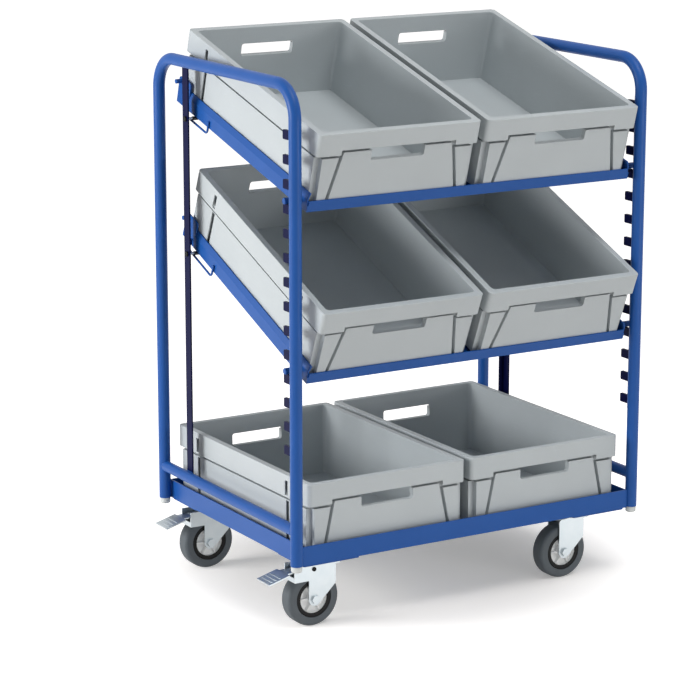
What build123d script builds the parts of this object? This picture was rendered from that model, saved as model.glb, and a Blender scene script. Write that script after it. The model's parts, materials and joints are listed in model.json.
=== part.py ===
from build123d import *
import os
from math import acos, atan2, cos, degrees, hypot, radians, sin, tan

os.makedirs("parts", exist_ok=True)

# All sizes are in millimetres. X runs to the right, Y to the rear and Z up.
# The origin is on the floor, midway between the four legs.

# Euro boxes
box_length = 600.0
box_width = 400.0
box_height = 170.0
box_wall = 3.0
box_floor = 3.0
box_draft = 1.0  # degrees
box_corner = 10.0  # outside corner radius of the collar
wall_corner = 12.0  # outside corner radius of the wall
box_pair_gap = 16.0  # between the collars of two boxes side by side
collar_drop = 50.0
collar_stand = 12.0  # how far the collar stands out from the wall
collar_skin = 2.5
rim_thick = 4.0
rim_round = 1.2
foot_height = 6.0
foot_inset = 1.0
panel_setback = 3.0  # panel faces behind the collar face
panel_skin = 2.5
panel_gap = 6.0  # shadow gap between the collar and the panels under it
panel_top_width = 266.0
panel_foot_width = 316.0
panel_top_drop = 39.0  # top of the end panel below the rim
panel_foot_rise = 8.0  # lower edge of the panels above the box bottom
corner_notch = 16.0  # panels end this far from the collar's corners
panel_groove = 8.0  # from the end panel to the corner panels and the collar beside it
grip_width = 132.0
grip_height = 29.0
grip_round = 5.0
slot_width = 12.0  # upright slots in the long sides
slot_from_end = 96.0
slot_drop = 13.0  # top of the slots below the rim
slot_bridge = 5.0  # strip of collar left under the slots

# Tube frame
tube_diameter = 27.0
tube_wall = 2.0
bow_bend = 70.0
bow_rise = 1026.0  # centre line of the top bar above the deck's seat
leg_gap = 29.0  # centre line of the legs outside the shelves
leg_inset = 3.0  # centre line of the legs inside the deck's ends
leg_rise = 2.0  # lower end of the legs above the deck's underside
stretcher_diameter = 25.0
stretcher_rise = 75.0  # centre line above the deck's seat
weld_gap = 0.3  # between round tubes and what is welded to them
plug_drop = 14.0
plug_flange_overhang = 1.5  # plug edge inside the tube's outside
plug_stem = 25.0
plug_clearance = 0.05
plug_round = 4.0

# Rear posts
post_inset = 7.0  # outside face inside the centre line of the legs
post_setback = 99.4  # rear face ahead of the centre line of the rear legs
post_depth = 25.0  # along Y
post_width = 15.0  # along X
post_sheet = 3.0

# Tooth racks
rack_sheet = 6.0
rack_spine = 5.5
tooth_count = 14
tooth_pitch = 52.0
tooth_height = 20.0
tooth_reach = 33.0  # from the back of the leg
tooth_round = 3.0
first_tooth_rise = 247.0  # middle of the lowest tooth above the deck's seat
top_shelf_tooth = 10  # index of the tooth that carries the shelf
middle_shelf_tooth = 3

# Deck
deck_upstand = 42.0
deck_flange = 40.0
deck_sheet = 3.0
bearer_width = 60.0
lower_box_shift = 3.0  # boxes stand this far behind the middle of the deck
deck_play = 3.0  # box ends to the rear rail
corner_plate_x = 140.0
corner_plate_y = 115.0
corner_plate_thick = 5.0
corner_plate_edge = 5.0  # plate edge inside the deck's outline

# Shelves
top_tilt = 15.9  # degrees
middle_tilt = 22.5  # degrees
side_play = 6.0  # collar to the outside of the side rail
front_play = 0.5  # end panel to the front rail
shelf_sheet = 3.0
shelf_flange = 35.0
shelf_front_upstand = 24.0
shelf_rear_upstand = 32.0
shelf_side_face = 28.0
shelf_lip_rise = 13.0
lip_gap = 1.0  # lip to the box's side panels
hook_diameter = 14.0
hook_overhang = 9.0  # pin ends outside the centre line of the legs
hook_chamfer = 1.4
hook_height = 11.0  # pin centre above the seat
hook_setback = 34.0  # pin centre behind the front of the collar
hook_seat = 20.5  # pin centre behind the back of the leg
rest_gap = 0.3
ear_length = 55.0
ear_height = 62.0
ear_thick = 3.0
ear_round = 8.0
peg_diameter = 10.0
peg_length = 14.0
peg_edge = 10.0  # peg centre from the ear's top and rear edges
stirrup_rod = 5.0
stirrup_front_gap = 157.5  # rod centres ahead of the shelf's rear face
stirrup_rear_gap = 43.5
stirrup_bend = 9.0
stirrup_lap = 16.0  # rod welded against the rail
stirrup_play = 1.0  # rod under the bush
support_pin_diameter = 6.0
support_pin_head = 10.0
support_pin_head_thick = 3.0
bush_diameter = 9.0
bush_length = 14.0
running_clearance = 0.05

# Casters
caster_edge_x = 98.2  # swivel axis inside the deck's outline
caster_edge_y = 69.0
wheel_diameter = 125.0
wheel_width = 37.0
wheel_trail = 41.6
wheel_headroom = 15.7  # tyre to the top of the fork
hub_diameter = 86.0
hub_face_diameter = 66.0
hub_face_width = 40.0
hub_rim_width = 30.0
hub_bore_wall = 8.0
tyre_round = 8.0
axle_diameter = 10.0
axle_head = 17.0  # across flats
axle_head_thick = 6.0
fork_sheet = 3.0
fork_gap = 0.5  # between hub face and fork
fork_front = 11.0  # front edge, ahead of the swivel axis
fork_shoulder_rise = 30.5  # start of the slope in the front edge, above the axle
fork_foot_radius = 15.0
fork_bend = 8.0
horn_back = 92.0  # brake housing of a braked fork, behind the swivel axis
horn_drop = 34.7  # lower edge under the top of the fork
horn_wall_height = 11.0
crown_diameter = 64.0
crown_thick = 5.0
race_diameter = 58.0
race_height = 9.0
race_gap = 0.3
king_pin_diameter = 14.0
king_pin_head = 24.0
king_pin_head_thick = 4.0
top_plate_x = 105.0
top_plate_y = 85.0
top_plate_thick = 4.0
top_plate_corner = 6.0
bolt_x = 80.0
bolt_y = 60.0
bolt_diameter = 8.0
bolt_head = 13.0  # across flats
bolt_head_thick = 5.3
bolt_hole_clearance = 0.2
pedal_pivot_back = 44.0  # behind the swivel axis
pedal_pivot_below = 9.5  # under the crown's top
pedal_pin = 6.0
pedal_boss = 9.0
pedal_width = 34.0
pedal_tip_back = 157.0
pedal_root_drop = 4.2  # tread's inner edge under the pivot
pedal_tip_drop = 18.0
pedal_sheet = 3.0
pedal_tread = 50.0
pedal_tread_width = 56.0
shoe_back = 75.0
shoe_length = 14.0
shoe_width = 24.0
brake_angle = 8.0  # degrees of pedal travel
shoe_gap = 0.6  # shoe to tyre with the pedal down

# Sizes that follow from the ones above
tube_radius = tube_diameter / 2
wheel_radius = wheel_diameter / 2
crown_top = wheel_diameter + wheel_headroom
race_bottom = crown_top + race_gap
plate_bottom = race_bottom + race_height
caster_top = plate_bottom + top_plate_thick
deck_bottom = caster_top + corner_plate_thick
deck_seat = deck_bottom + deck_sheet
box_pair_half = box_width + box_pair_gap / 2
shelf_half_width = box_pair_half + side_play
shelf_lip_lean = side_play + panel_setback - shelf_sheet - lip_gap
shelf_front = -hook_setback + panel_setback - front_play - shelf_sheet
shelf_rear = box_length - hook_setback - panel_setback + front_play + shelf_sheet
leg_x = shelf_half_width + leg_gap
deck_half_width = leg_x - tube_radius - weld_gap
deck_half_length = box_length / 2 + lower_box_shift + deck_play + deck_sheet
leg_y = deck_half_length - leg_inset
leg_bottom = deck_bottom + leg_rise
bow_top = deck_seat + bow_rise
stretcher_z = deck_seat + stretcher_rise
post_x = leg_x - post_inset
post_y = leg_y - post_setback
post_middle_y = post_y - post_sheet - (post_depth - post_sheet) / 2
rack_start = -leg_y + tube_radius
first_tooth_z = deck_seat + first_tooth_rise
hook_y = rack_start + hook_seat
hook_length = leg_gap + hook_overhang
stirrup_front = shelf_rear - stirrup_front_gap
stirrup_rear = shelf_rear - stirrup_rear_gap
caster_x = deck_half_width - caster_edge_x
caster_y = deck_half_length - caster_edge_y
fork_inside = hub_face_width / 2 + fork_gap
fork_outside = fork_inside + fork_sheet
fork_back = wheel_trail + fork_foot_radius
fork_shoulder_z = wheel_radius + fork_shoulder_rise
horn_bottom = crown_top - horn_drop
pedal_pivot_z = crown_top - pedal_pivot_below
sides = {"left": -1, "right": 1}
shelf_settings = {
    "top": (top_tilt, top_shelf_tooth),
    "middle": (middle_tilt, middle_shelf_tooth),
}


def write_piece(blank, name, place=Plane.XY):
    """Set a finished piece on its plane and write it as one node."""
    with BuildPart(place) as piece:
        add(blank.part)
    piece.part.label = name
    export_step(piece.part, f"parts/{name}.step")


def tooth_top(index):
    """Height of the upper face of one rack tooth."""
    return first_tooth_z + index * tooth_pitch + tooth_height / 2


def shelf_plane(tilt, tooth):
    """Plane of a shelf's seat: its origin lies under the hook pins, its Y runs rearward."""
    slope = radians(tilt)
    pin_z = tooth_top(tooth) + hook_diameter / 2 + rest_gap
    return Plane(
        origin=(0, hook_y + hook_height * sin(slope), pin_z - hook_height * cos(slope)),
        x_dir=(1, 0, 0),
        z_dir=(0, -sin(slope), cos(slope)),
    )


# Bows, stretchers, posts and racks
def make_bow(name, side):
    x = side * leg_x
    with BuildPart() as bow:
        with BuildLine() as path:
            FilletPolyline(
                (x, -leg_y, leg_bottom),
                (x, -leg_y, bow_top),
                (x, leg_y, bow_top),
                (x, leg_y, leg_bottom),
                radius=bow_bend,
            )
        with BuildSketch(Plane.XY.offset(leg_bottom)):
            with Locations((x, -leg_y)):
                Circle(tube_radius)
                Circle(tube_radius - tube_wall, mode=Mode.SUBTRACT)
        sweep(path=path.line)
    write_piece(bow, f"{name}_bow")


def make_stretcher(name, side):
    x = side * leg_x
    with BuildPart() as stretcher:
        with BuildSketch(Plane.XZ):
            with Locations((x, stretcher_z)):
                Circle(stretcher_diameter / 2)
                Circle(stretcher_diameter / 2 - tube_wall, mode=Mode.SUBTRACT)
        extrude(amount=leg_y, both=True)
        with BuildSketch(Plane.XY):
            with Locations((x, -leg_y), (x, leg_y)):
                Circle(tube_radius)
        extrude(amount=bow_top, mode=Mode.SUBTRACT)
    write_piece(stretcher, f"{name}_stretcher")


def make_post(name, side):
    x = side * (post_x - post_width / 2)
    y = post_y - post_depth / 2
    with BuildPart() as post:
        with BuildSketch(Plane.XY.offset(stretcher_z)):
            with Locations((x, y)):
                Rectangle(post_width, post_depth)
            with Locations((x - side * post_sheet, y - post_sheet)):
                Rectangle(post_width, post_depth, mode=Mode.SUBTRACT)
        extrude(amount=bow_top - stretcher_z)
        with BuildSketch(Plane.XZ):
            with Locations((side * leg_x, stretcher_z)):
                Circle(stretcher_diameter / 2)
            with Locations((side * leg_x, bow_top)):
                Circle(tube_radius)
        extrude(amount=leg_y, both=True, mode=Mode.SUBTRACT)
        with BuildSketch(Plane.YZ):
            for tilt, tooth in shelf_settings.values():
                with Locations(support_pin_place(tilt, tooth)):
                    Circle(support_pin_diameter / 2)
        extrude(amount=side * (post_x + post_width), mode=Mode.SUBTRACT)
    write_piece(post, f"{name}_rear_post")


def make_rack(name, side):
    spine_bottom = first_tooth_z - tooth_height
    spine_top = first_tooth_z + (tooth_count - 1) * tooth_pitch + tooth_height
    with BuildPart() as rack:
        with BuildSketch(Plane.YZ.offset(side * leg_x)) as outline:
            with Locations((rack_start - weld_gap, (spine_bottom + spine_top) / 2)):
                Rectangle(rack_spine + weld_gap, spine_top - spine_bottom, align=(Align.MIN, Align.CENTER))
            for index in range(tooth_count):
                with Locations((rack_start, first_tooth_z + index * tooth_pitch)):
                    Rectangle(tooth_reach, tooth_height, align=(Align.MIN, Align.CENTER))
            fillet(outline.vertices().group_by(Axis.X)[-1], tooth_round)
        extrude(amount=rack_sheet / 2, both=True)
        with BuildSketch(Plane.XY):
            with Locations((side * leg_x, -leg_y)):
                Circle(tube_radius)
        extrude(amount=bow_top, mode=Mode.SUBTRACT)
    write_piece(rack, f"{name}_rack")


def make_plugs():
    with BuildPart() as plugs:
        with BuildSketch(Plane.XY.offset(leg_bottom)):
            with GridLocations(2 * leg_x, 2 * leg_y, 2, 2):
                Circle(tube_radius - plug_flange_overhang)
        extrude(amount=-plug_drop)
        fillet(plugs.edges().group_by(Axis.Z)[0], plug_round)
        with BuildSketch(Plane.XY.offset(leg_bottom)):
            with GridLocations(2 * leg_x, 2 * leg_y, 2, 2):
                Circle(tube_radius - tube_wall - plug_clearance)
        extrude(amount=plug_stem)
    write_piece(plugs, "leg_plugs")


# Deck
def make_deck_end_rail(name, end):
    inward = Align.MIN if end < 0 else Align.MAX
    with BuildPart() as rail:
        with Locations((0, end * deck_half_length, deck_seat)):
            Box(
                2 * (deck_half_width - deck_sheet),
                deck_sheet,
                deck_upstand - deck_sheet,
                align=(Align.CENTER, inward, Align.MIN),
            )
            Box(
                2 * (deck_half_width - deck_flange),
                deck_flange,
                deck_sheet,
                align=(Align.CENTER, inward, Align.MAX),
            )
    write_piece(rail, f"deck_{name}_rail")


def make_deck_side_rail(name, side):
    x = side * deck_half_width
    with BuildPart() as rail:
        with BuildSketch(Plane.XZ):
            with BuildLine():
                Polyline(
                    (x, deck_bottom),
                    (x, deck_bottom + deck_upstand),
                    (x - side * deck_sheet, deck_bottom + deck_upstand),
                    (x - side * deck_sheet, deck_seat),
                    (x - side * deck_flange, deck_seat),
                    (x - side * deck_flange, deck_bottom),
                    close=True,
                )
            make_face()
        extrude(amount=deck_half_length, both=True)
    write_piece(rail, f"deck_{name}_rail")


def make_deck_bearer():
    with BuildPart() as bearer:
        with Locations((0, 0, deck_bottom)):
            Box(
                bearer_width,
                2 * (deck_half_length - deck_flange),
                deck_sheet,
                align=(Align.CENTER, Align.CENTER, Align.MIN),
            )
    write_piece(bearer, "deck_bearer")


def make_corner_plates():
    x = deck_half_width - corner_plate_edge - corner_plate_x / 2
    y = deck_half_length - corner_plate_edge - corner_plate_y / 2
    with BuildPart() as plates:
        with BuildSketch(Plane.XY.offset(caster_top)):
            with GridLocations(2 * x, 2 * y, 2, 2):
                RectangleRounded(corner_plate_x, corner_plate_y, corner_plate_edge)
            with GridLocations(2 * caster_x, 2 * caster_y, 2, 2):
                with GridLocations(bolt_x, bolt_y, 2, 2):
                    Circle(bolt_diameter / 2 + running_clearance, mode=Mode.SUBTRACT)
        extrude(amount=corner_plate_thick)
    write_piece(plates, "caster_corner_plates")


# Shelves, drawn level on their own seat plane
def make_shelf_side_rail(shelf, place, name, side):
    x = side * shelf_half_width
    lip_x = x - side * shelf_lip_lean
    lip_foot = shelf_side_face - shelf_sheet
    lip_top = lip_foot + shelf_lip_rise
    with BuildPart() as rail:
        with BuildSketch(Plane.XZ.offset(-shelf_front)):
            with BuildLine():
                Polyline(
                    (x, -shelf_sheet),
                    (x, lip_foot),
                    (lip_x, lip_top),
                    (lip_x - side * shelf_sheet, lip_top),
                    (x - side * shelf_sheet, lip_foot),
                    (x - side * shelf_sheet, 0),
                    (x - side * shelf_flange, 0),
                    (x - side * shelf_flange, -shelf_sheet),
                    close=True,
                )
            make_face()
        extrude(amount=-(shelf_rear - shelf_front))
        for end in (shelf_front, shelf_rear):
            with Locations((x - side * shelf_sheet, end, lip_foot)):
                Box(2 * shelf_lip_lean, 2 * shelf_sheet, 2 * shelf_lip_rise, mode=Mode.SUBTRACT)
        with BuildSketch(Plane.YZ.offset(x)) as ear:
            with Locations((shelf_rear, -shelf_sheet)):
                Rectangle(ear_length, ear_height, align=(Align.MAX, Align.MIN))
            fillet(ear.vertices().group_by(Axis.Y)[-1], ear_round)
        extrude(amount=-side * ear_thick)
        with BuildSketch(Plane.YZ.offset(x - side * ear_thick)):
            with Locations((shelf_rear - peg_edge, ear_height - shelf_sheet - peg_edge)):
                Circle(peg_diameter / 2)
        extrude(amount=side * (peg_length + ear_thick))
    write_piece(rail, f"{shelf}_{name}_rail", place)


def make_shelf_end_rail(shelf, place, name, face, upstand):
    inward = Align.MIN if name == "front" else Align.MAX
    with BuildPart() as rail:
        with Locations((0, face, 0)):
            Box(
                2 * (shelf_half_width - shelf_sheet),
                shelf_sheet,
                upstand - shelf_sheet,
                align=(Align.CENTER, inward, Align.MIN),
            )
            Box(
                2 * (shelf_half_width - shelf_flange),
                shelf_flange,
                shelf_sheet,
                align=(Align.CENTER, inward, Align.MAX),
            )
    write_piece(rail, f"{shelf}_{name}_rail", place)


def make_shelf_bearer(shelf, place):
    with BuildPart() as bearer:
        with Locations((0, shelf_front + shelf_flange, -shelf_sheet)):
            Box(
                bearer_width,
                shelf_rear - shelf_front - 2 * shelf_flange,
                shelf_sheet,
                align=(Align.CENTER, Align.MIN, Align.MIN),
            )
    write_piece(bearer, f"{shelf}_bearer", place)


def make_hook_pins(shelf, place):
    with BuildPart() as pins:
        for side in sides.values():
            with BuildSketch(Plane.YZ.offset(side * shelf_half_width)):
                with Locations((0, hook_height)):
                    Circle(hook_diameter / 2)
            extrude(amount=side * hook_length)
        rounds = pins.edges().group_by(Axis.X)
        chamfer(rounds[0] + rounds[-1], hook_chamfer)
    write_piece(pins, f"{shelf}_hook_pins", place)


def make_stirrups(shelf, place):
    low = -shelf_sheet - rest_gap - bush_diameter - stirrup_play - stirrup_rod / 2
    high = stirrup_lap - shelf_sheet
    with BuildPart() as stirrups:
        for side in sides.values():
            x = side * (shelf_half_width + stirrup_rod / 2)
            with BuildLine() as path:
                FilletPolyline(
                    (x, stirrup_front, high),
                    (x, stirrup_front, low),
                    (x, stirrup_rear, low),
                    (x, stirrup_rear, high),
                    radius=stirrup_bend,
                )
            with BuildSketch(Plane.XY.offset(high)):
                with Locations((x, stirrup_front)):
                    Circle(stirrup_rod / 2)
            sweep(path=path.line)
    write_piece(stirrups, f"{shelf}_stirrups", place)


def support_pin_place(tilt, tooth):
    """Y and Z of the pin on the rear post that carries a shelf's side rail."""
    slope = radians(tilt)
    seat = shelf_plane(tilt, tooth).origin
    drop = shelf_sheet + rest_gap + bush_diameter / 2
    along = (post_middle_y - seat.Y - drop * sin(slope)) / cos(slope)
    return post_middle_y, seat.Z + along * sin(slope) - drop * cos(slope)


def make_support_pins():
    inner = shelf_half_width - shelf_sheet - bush_length / 2
    with BuildPart() as pins:
        for side in sides.values():
            for tilt, tooth in shelf_settings.values():
                with BuildSketch(Plane.YZ.offset(side * inner)):
                    with Locations(support_pin_place(tilt, tooth)):
                        Circle(support_pin_diameter / 2)
                extrude(amount=side * (post_x - inner))
                with BuildSketch(Plane.YZ.offset(side * post_x)):
                    with Locations(support_pin_place(tilt, tooth)):
                        Circle(support_pin_head / 2)
                extrude(amount=side * support_pin_head_thick)
    write_piece(pins, "rear_support_pins")


def make_bushes(shelf, tilt, tooth):
    with BuildPart() as bushes:
        for side in sides.values():
            with BuildSketch(Plane.YZ.offset(side * (shelf_half_width - shelf_sheet / 2))):
                with Locations(support_pin_place(tilt, tooth)):
                    Circle(bush_diameter / 2)
                    Circle(support_pin_diameter / 2 + running_clearance, mode=Mode.SUBTRACT)
            extrude(amount=bush_length / 2, both=True)
    write_piece(bushes, f"{shelf}_bushes")


# Euro box, standing on its own bottom centre
def draw_euro_box():
    wall_width = box_width - 2 * collar_stand
    wall_length = box_length - 2 * collar_stand
    narrowing = 2 * box_height * tan(radians(box_draft))
    end_face = box_length / 2 - panel_setback
    side_face = box_width / 2 - panel_setback
    end_top = box_height - panel_top_drop
    panel_top = end_top - panel_gap
    side_top = box_height - collar_drop - panel_gap
    side_length = box_length - 2 * corner_notch
    grip_bottom = end_top - grip_height
    panel_depth = collar_stand - panel_setback + narrowing / 2 + box_wall / 2
    pocket = collar_stand - panel_setback - panel_skin
    slot_y = box_length / 2 - slot_from_end
    flare = (panel_foot_width - panel_top_width) / 2 / (panel_top - panel_foot_rise)
    groove_foot = panel_foot_width / 2 + panel_groove
    groove_top = groove_foot - flare * (side_top - panel_foot_rise)
    pillar_x = box_width / 2 - corner_notch
    rim = Plane.XY.offset(box_height)
    panel_foot = Plane.XY.offset(panel_foot_rise)
    with BuildPart() as box:
        with BuildSketch(rim):
            RectangleRounded(wall_width, wall_length, wall_corner)
        extrude(amount=-(box_height - foot_height), taper=box_draft)
        with BuildSketch():
            RectangleRounded(
                wall_width - narrowing - 2 * foot_inset,
                wall_length - narrowing - 2 * foot_inset,
                wall_corner - narrowing / 2 - foot_inset,
            )
        extrude(amount=foot_height)
        for end in (-1, 1):
            with BuildSketch(Plane.XZ.offset(-end * end_face)):
                with BuildLine():
                    Polyline(
                        (-panel_foot_width / 2, panel_foot_rise),
                        (-panel_top_width / 2, panel_top),
                        (panel_top_width / 2, panel_top),
                        (panel_foot_width / 2, panel_foot_rise),
                        close=True,
                    )
                make_face()
                with BuildLine():
                    Polyline(
                        (groove_foot, panel_foot_rise),
                        (groove_top, side_top),
                        (pillar_x, side_top),
                        (pillar_x, panel_foot_rise),
                        close=True,
                    )
                corner_panel = make_face()
                mirror(corner_panel, about=Plane.YZ)
            extrude(amount=end * panel_depth)
        for side in sides.values():
            with BuildSketch(Plane.YZ.offset(side * side_face)):
                with Locations((0, panel_foot_rise)):
                    Rectangle(side_length, side_top - panel_foot_rise, align=(Align.CENTER, Align.MIN))
            extrude(amount=-side * panel_depth)
        with BuildSketch(panel_foot):
            with GridLocations(0, 2 * (end_face - panel_skin) - pocket, 1, 2):
                Rectangle(panel_top_width - 2 * panel_skin, pocket)
        extrude(amount=grip_bottom - panel_skin - panel_foot_rise, mode=Mode.SUBTRACT)
        with BuildSketch(panel_foot):
            with GridLocations(2 * (side_face - panel_skin) - pocket, 0, 2, 1):
                Rectangle(pocket, side_length - 2 * panel_skin)
            with GridLocations(2 * side_face - panel_skin, 2 * slot_y, 2, 2):
                Rectangle(panel_skin, slot_width)
            with GridLocations(pillar_x + groove_foot, 2 * (end_face - panel_skin) - pocket, 2, 2):
                Rectangle(pillar_x - groove_foot - 2 * panel_skin, pocket)
        extrude(amount=side_top - panel_skin - panel_foot_rise, mode=Mode.SUBTRACT)
        with BuildSketch(rim):
            RectangleRounded(box_width, box_length, box_corner)
        extrude(amount=-rim_thick)
        with BuildSketch(rim):
            RectangleRounded(box_width, box_length, box_corner)
            RectangleRounded(
                box_width - 2 * collar_skin,
                box_length - 2 * collar_skin,
                box_corner - collar_skin,
                mode=Mode.SUBTRACT,
            )
        extrude(amount=-collar_drop)
        with BuildSketch(rim):
            RectangleRounded(
                wall_width - 2 * box_wall,
                wall_length - 2 * box_wall,
                wall_corner - box_wall,
            )
        extrude(amount=-(box_height - box_floor), taper=box_draft, mode=Mode.SUBTRACT)
        with Locations((0, 0, box_height - collar_drop)):
            with GridLocations(0, box_length - collar_skin, 1, 2):
                Box(
                    panel_top_width + 2 * panel_groove,
                    collar_skin,
                    collar_drop - panel_top_drop,
                    align=(Align.CENTER, Align.CENTER, Align.MIN),
                    mode=Mode.SUBTRACT,
                )
        with Locations((0, 0, box_height - slot_drop)):
            with GridLocations(box_width - collar_skin, 2 * slot_y, 2, 2):
                Box(
                    collar_skin,
                    slot_width,
                    collar_drop - slot_drop - slot_bridge,
                    align=(Align.CENTER, Align.CENTER, Align.MAX),
                    mode=Mode.SUBTRACT,
                )
        with BuildSketch(Plane.XZ):
            with Locations((0, (grip_bottom + end_top) / 2)):
                RectangleRounded(grip_width, grip_height, grip_round)
        extrude(amount=box_length, both=True, mode=Mode.SUBTRACT)
        fillet(box.edges().filter_by(GeomType.LINE).group_by(Axis.Z)[-1], rim_round)
    return box


def make_boxes(shelf, place, y_middle):
    box = draw_euro_box()
    for name, side in sides.items():
        seat = Plane(place * Location((side * (box_width + box_pair_gap) / 2, y_middle, 0)))
        write_piece(box, f"{shelf}_{name}_box", seat)


# Casters, drawn about their swivel axis with the wheel trailing to the left
def make_top_plates():
    with BuildPart() as plates:
        with BuildSketch(Plane.XY.offset(plate_bottom)):
            RectangleRounded(top_plate_x, top_plate_y, top_plate_corner)
            with GridLocations(bolt_x, bolt_y, 2, 2):
                Circle(bolt_diameter / 2 + bolt_hole_clearance, mode=Mode.SUBTRACT)
        extrude(amount=top_plate_thick)
        with BuildSketch(Plane.XY.offset(race_bottom)):
            Circle(race_diameter / 2)
        extrude(amount=race_height)
        with BuildSketch(Plane.XY.offset(race_bottom)):
            Circle(king_pin_diameter / 2)
        extrude(amount=-(crown_thick + 2 * race_gap))
        with BuildSketch(Plane.XY.offset(crown_top - crown_thick - race_gap)):
            Circle(king_pin_head / 2)
        extrude(amount=-king_pin_head_thick)
    with BuildPart() as set_of_four:
        with GridLocations(2 * caster_x, 2 * caster_y, 2, 2):
            add(plates.part)
    write_piece(set_of_four, "caster_top_plates")


def make_bolts():
    with BuildPart() as bolts:
        with GridLocations(2 * caster_x, 2 * caster_y, 2, 2):
            with GridLocations(bolt_x, bolt_y, 2, 2):
                with Locations((0, 0, plate_bottom)):
                    Cylinder(
                        bolt_diameter / 2,
                        top_plate_thick + corner_plate_thick,
                        align=(Align.CENTER, Align.CENTER, Align.MIN),
                    )
        with BuildSketch(Plane.XY.offset(plate_bottom)):
            with GridLocations(2 * caster_x, 2 * caster_y, 2, 2):
                with GridLocations(bolt_x, bolt_y, 2, 2):
                    RegularPolygon(bolt_head / 2, 6, major_radius=False)
        extrude(amount=-bolt_head_thick)
    write_piece(bolts, "caster_bolts")


def draw_fork(braked):
    run = fork_front + wheel_trail
    rise = fork_shoulder_z - wheel_radius
    leave = degrees(atan2(rise, run) - acos(fork_foot_radius / hypot(run, rise)))
    with BuildPart() as fork:
        with BuildSketch(Plane.XZ.offset(fork_inside)):
            with BuildLine():
                foot = CenterArc((-wheel_trail, wheel_radius), fork_foot_radius, 180, 180 + leave)
                FilletPolyline(
                    foot @ 1,
                    (fork_front, fork_shoulder_z),
                    (fork_front, crown_top),
                    (-fork_back, crown_top),
                    foot @ 0,
                    radius=fork_bend,
                )
            make_face()
            if braked:
                with Locations((-horn_back, horn_bottom)):
                    Rectangle(horn_back - wheel_trail, horn_drop, align=(Align.MIN, Align.MIN))
                with Locations((-pedal_pivot_back, pedal_pivot_z)):
                    Circle(pedal_pin / 2 + running_clearance, mode=Mode.SUBTRACT)
            with Locations((-wheel_trail, wheel_radius)):
                Circle(axle_diameter / 2 + running_clearance, mode=Mode.SUBTRACT)
        extrude(amount=fork_sheet)
        mirror(about=Plane.XZ)
        with BuildSketch(Plane.XY.offset(crown_top)):
            Circle(crown_diameter / 2)
            Rectangle(crown_diameter, 2 * fork_outside, mode=Mode.INTERSECT)
            Circle(king_pin_diameter / 2 + running_clearance, mode=Mode.SUBTRACT)
        extrude(amount=-crown_thick)
        if braked:
            with Locations((-horn_back, 0, horn_bottom)):
                Box(
                    fork_sheet,
                    2 * fork_outside,
                    horn_wall_height,
                    align=(Align.MIN, Align.CENTER, Align.MIN),
                )
    return fork


def draw_axle():
    with BuildPart() as axle:
        with BuildSketch(Plane.XZ):
            with Locations((-wheel_trail, wheel_radius)):
                Circle(axle_diameter / 2)
        extrude(amount=fork_outside + axle_head_thick, both=True)
        for end in (-1, 1):
            with BuildSketch(Plane.XZ.offset(end * fork_outside)):
                with Locations((-wheel_trail, wheel_radius)):
                    RegularPolygon(axle_head / 2, 6, major_radius=False)
            extrude(amount=end * axle_head_thick)
    return axle


def draw_hub():
    bore = axle_diameter / 2 + running_clearance
    with BuildPart() as hub:
        with BuildSketch(Plane.XY):
            with BuildLine():
                Polyline(
                    (bore, -hub_face_width / 2),
                    (bore + hub_bore_wall, -hub_face_width / 2),
                    (hub_face_diameter / 2, -hub_rim_width / 2),
                    (hub_diameter / 2, -hub_rim_width / 2),
                    (hub_diameter / 2, hub_rim_width / 2),
                    (hub_face_diameter / 2, hub_rim_width / 2),
                    (bore + hub_bore_wall, hub_face_width / 2),
                    (bore, hub_face_width / 2),
                    close=True,
                )
            make_face()
        revolve(axis=Axis.Y)
    return hub


def draw_tyre():
    with BuildPart() as tyre:
        with BuildSketch(Plane.XY) as section:
            with Locations((hub_diameter / 2, 0)):
                Rectangle(wheel_radius - hub_diameter / 2, wheel_width, align=(Align.MIN, Align.CENTER))
            fillet(section.vertices().group_by(Axis.X)[-1], tyre_round)
        revolve(axis=Axis.Y)
    return tyre


def draw_pedal():
    pivot = (-pedal_pivot_back, pedal_pivot_z)
    root = (-pedal_tip_back + pedal_tread, pedal_pivot_z - pedal_root_drop)
    tip = (-pedal_tip_back, pedal_pivot_z - pedal_tip_drop)
    press = (shoe_back - pedal_pivot_back) * tan(radians(brake_angle))
    near = shoe_back - wheel_trail - shoe_length / 2
    shoe_bottom = wheel_radius + (wheel_radius**2 - near**2) ** 0.5 + press + shoe_gap
    with BuildPart() as pedal:
        with BuildSketch(Plane.XZ):
            with BuildLine():
                Polyline(pivot, root, tip)
            trace(line_width=pedal_sheet)
            with Locations(pivot):
                Circle(pedal_boss / 2)
        extrude(amount=pedal_width / 2, both=True)
        with BuildSketch(Plane.XZ):
            with BuildLine():
                Line(root, tip)
            trace(line_width=pedal_sheet)
        extrude(amount=pedal_tread_width / 2, both=True)
        with BuildSketch(Plane.XZ):
            with Locations((-shoe_back, shoe_bottom)):
                Rectangle(shoe_length, pedal_pivot_z - shoe_bottom, align=(Align.CENTER, Align.MIN))
        extrude(amount=shoe_width / 2, both=True)
        with BuildSketch(Plane.XZ):
            with Locations(pivot):
                Circle(pedal_pin / 2)
        extrude(amount=fork_outside, both=True)
    return pedal


def make_caster(end_name, end, side_name, side):
    name = f"{end_name}_{side_name}"
    braked = side < 0
    swivel = Plane((side * caster_x, end * caster_y, 0))
    wheel = Plane((side * caster_x - wheel_trail, end * caster_y, wheel_radius))
    write_piece(draw_fork(braked), f"{name}_fork", swivel)
    write_piece(draw_axle(), f"{name}_axle", swivel)
    write_piece(draw_hub(), f"{name}_hub", wheel)
    write_piece(draw_tyre(), f"{name}_tyre", wheel)
    if braked:
        write_piece(draw_pedal(), f"{name}_brake_pedal", swivel)


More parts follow.
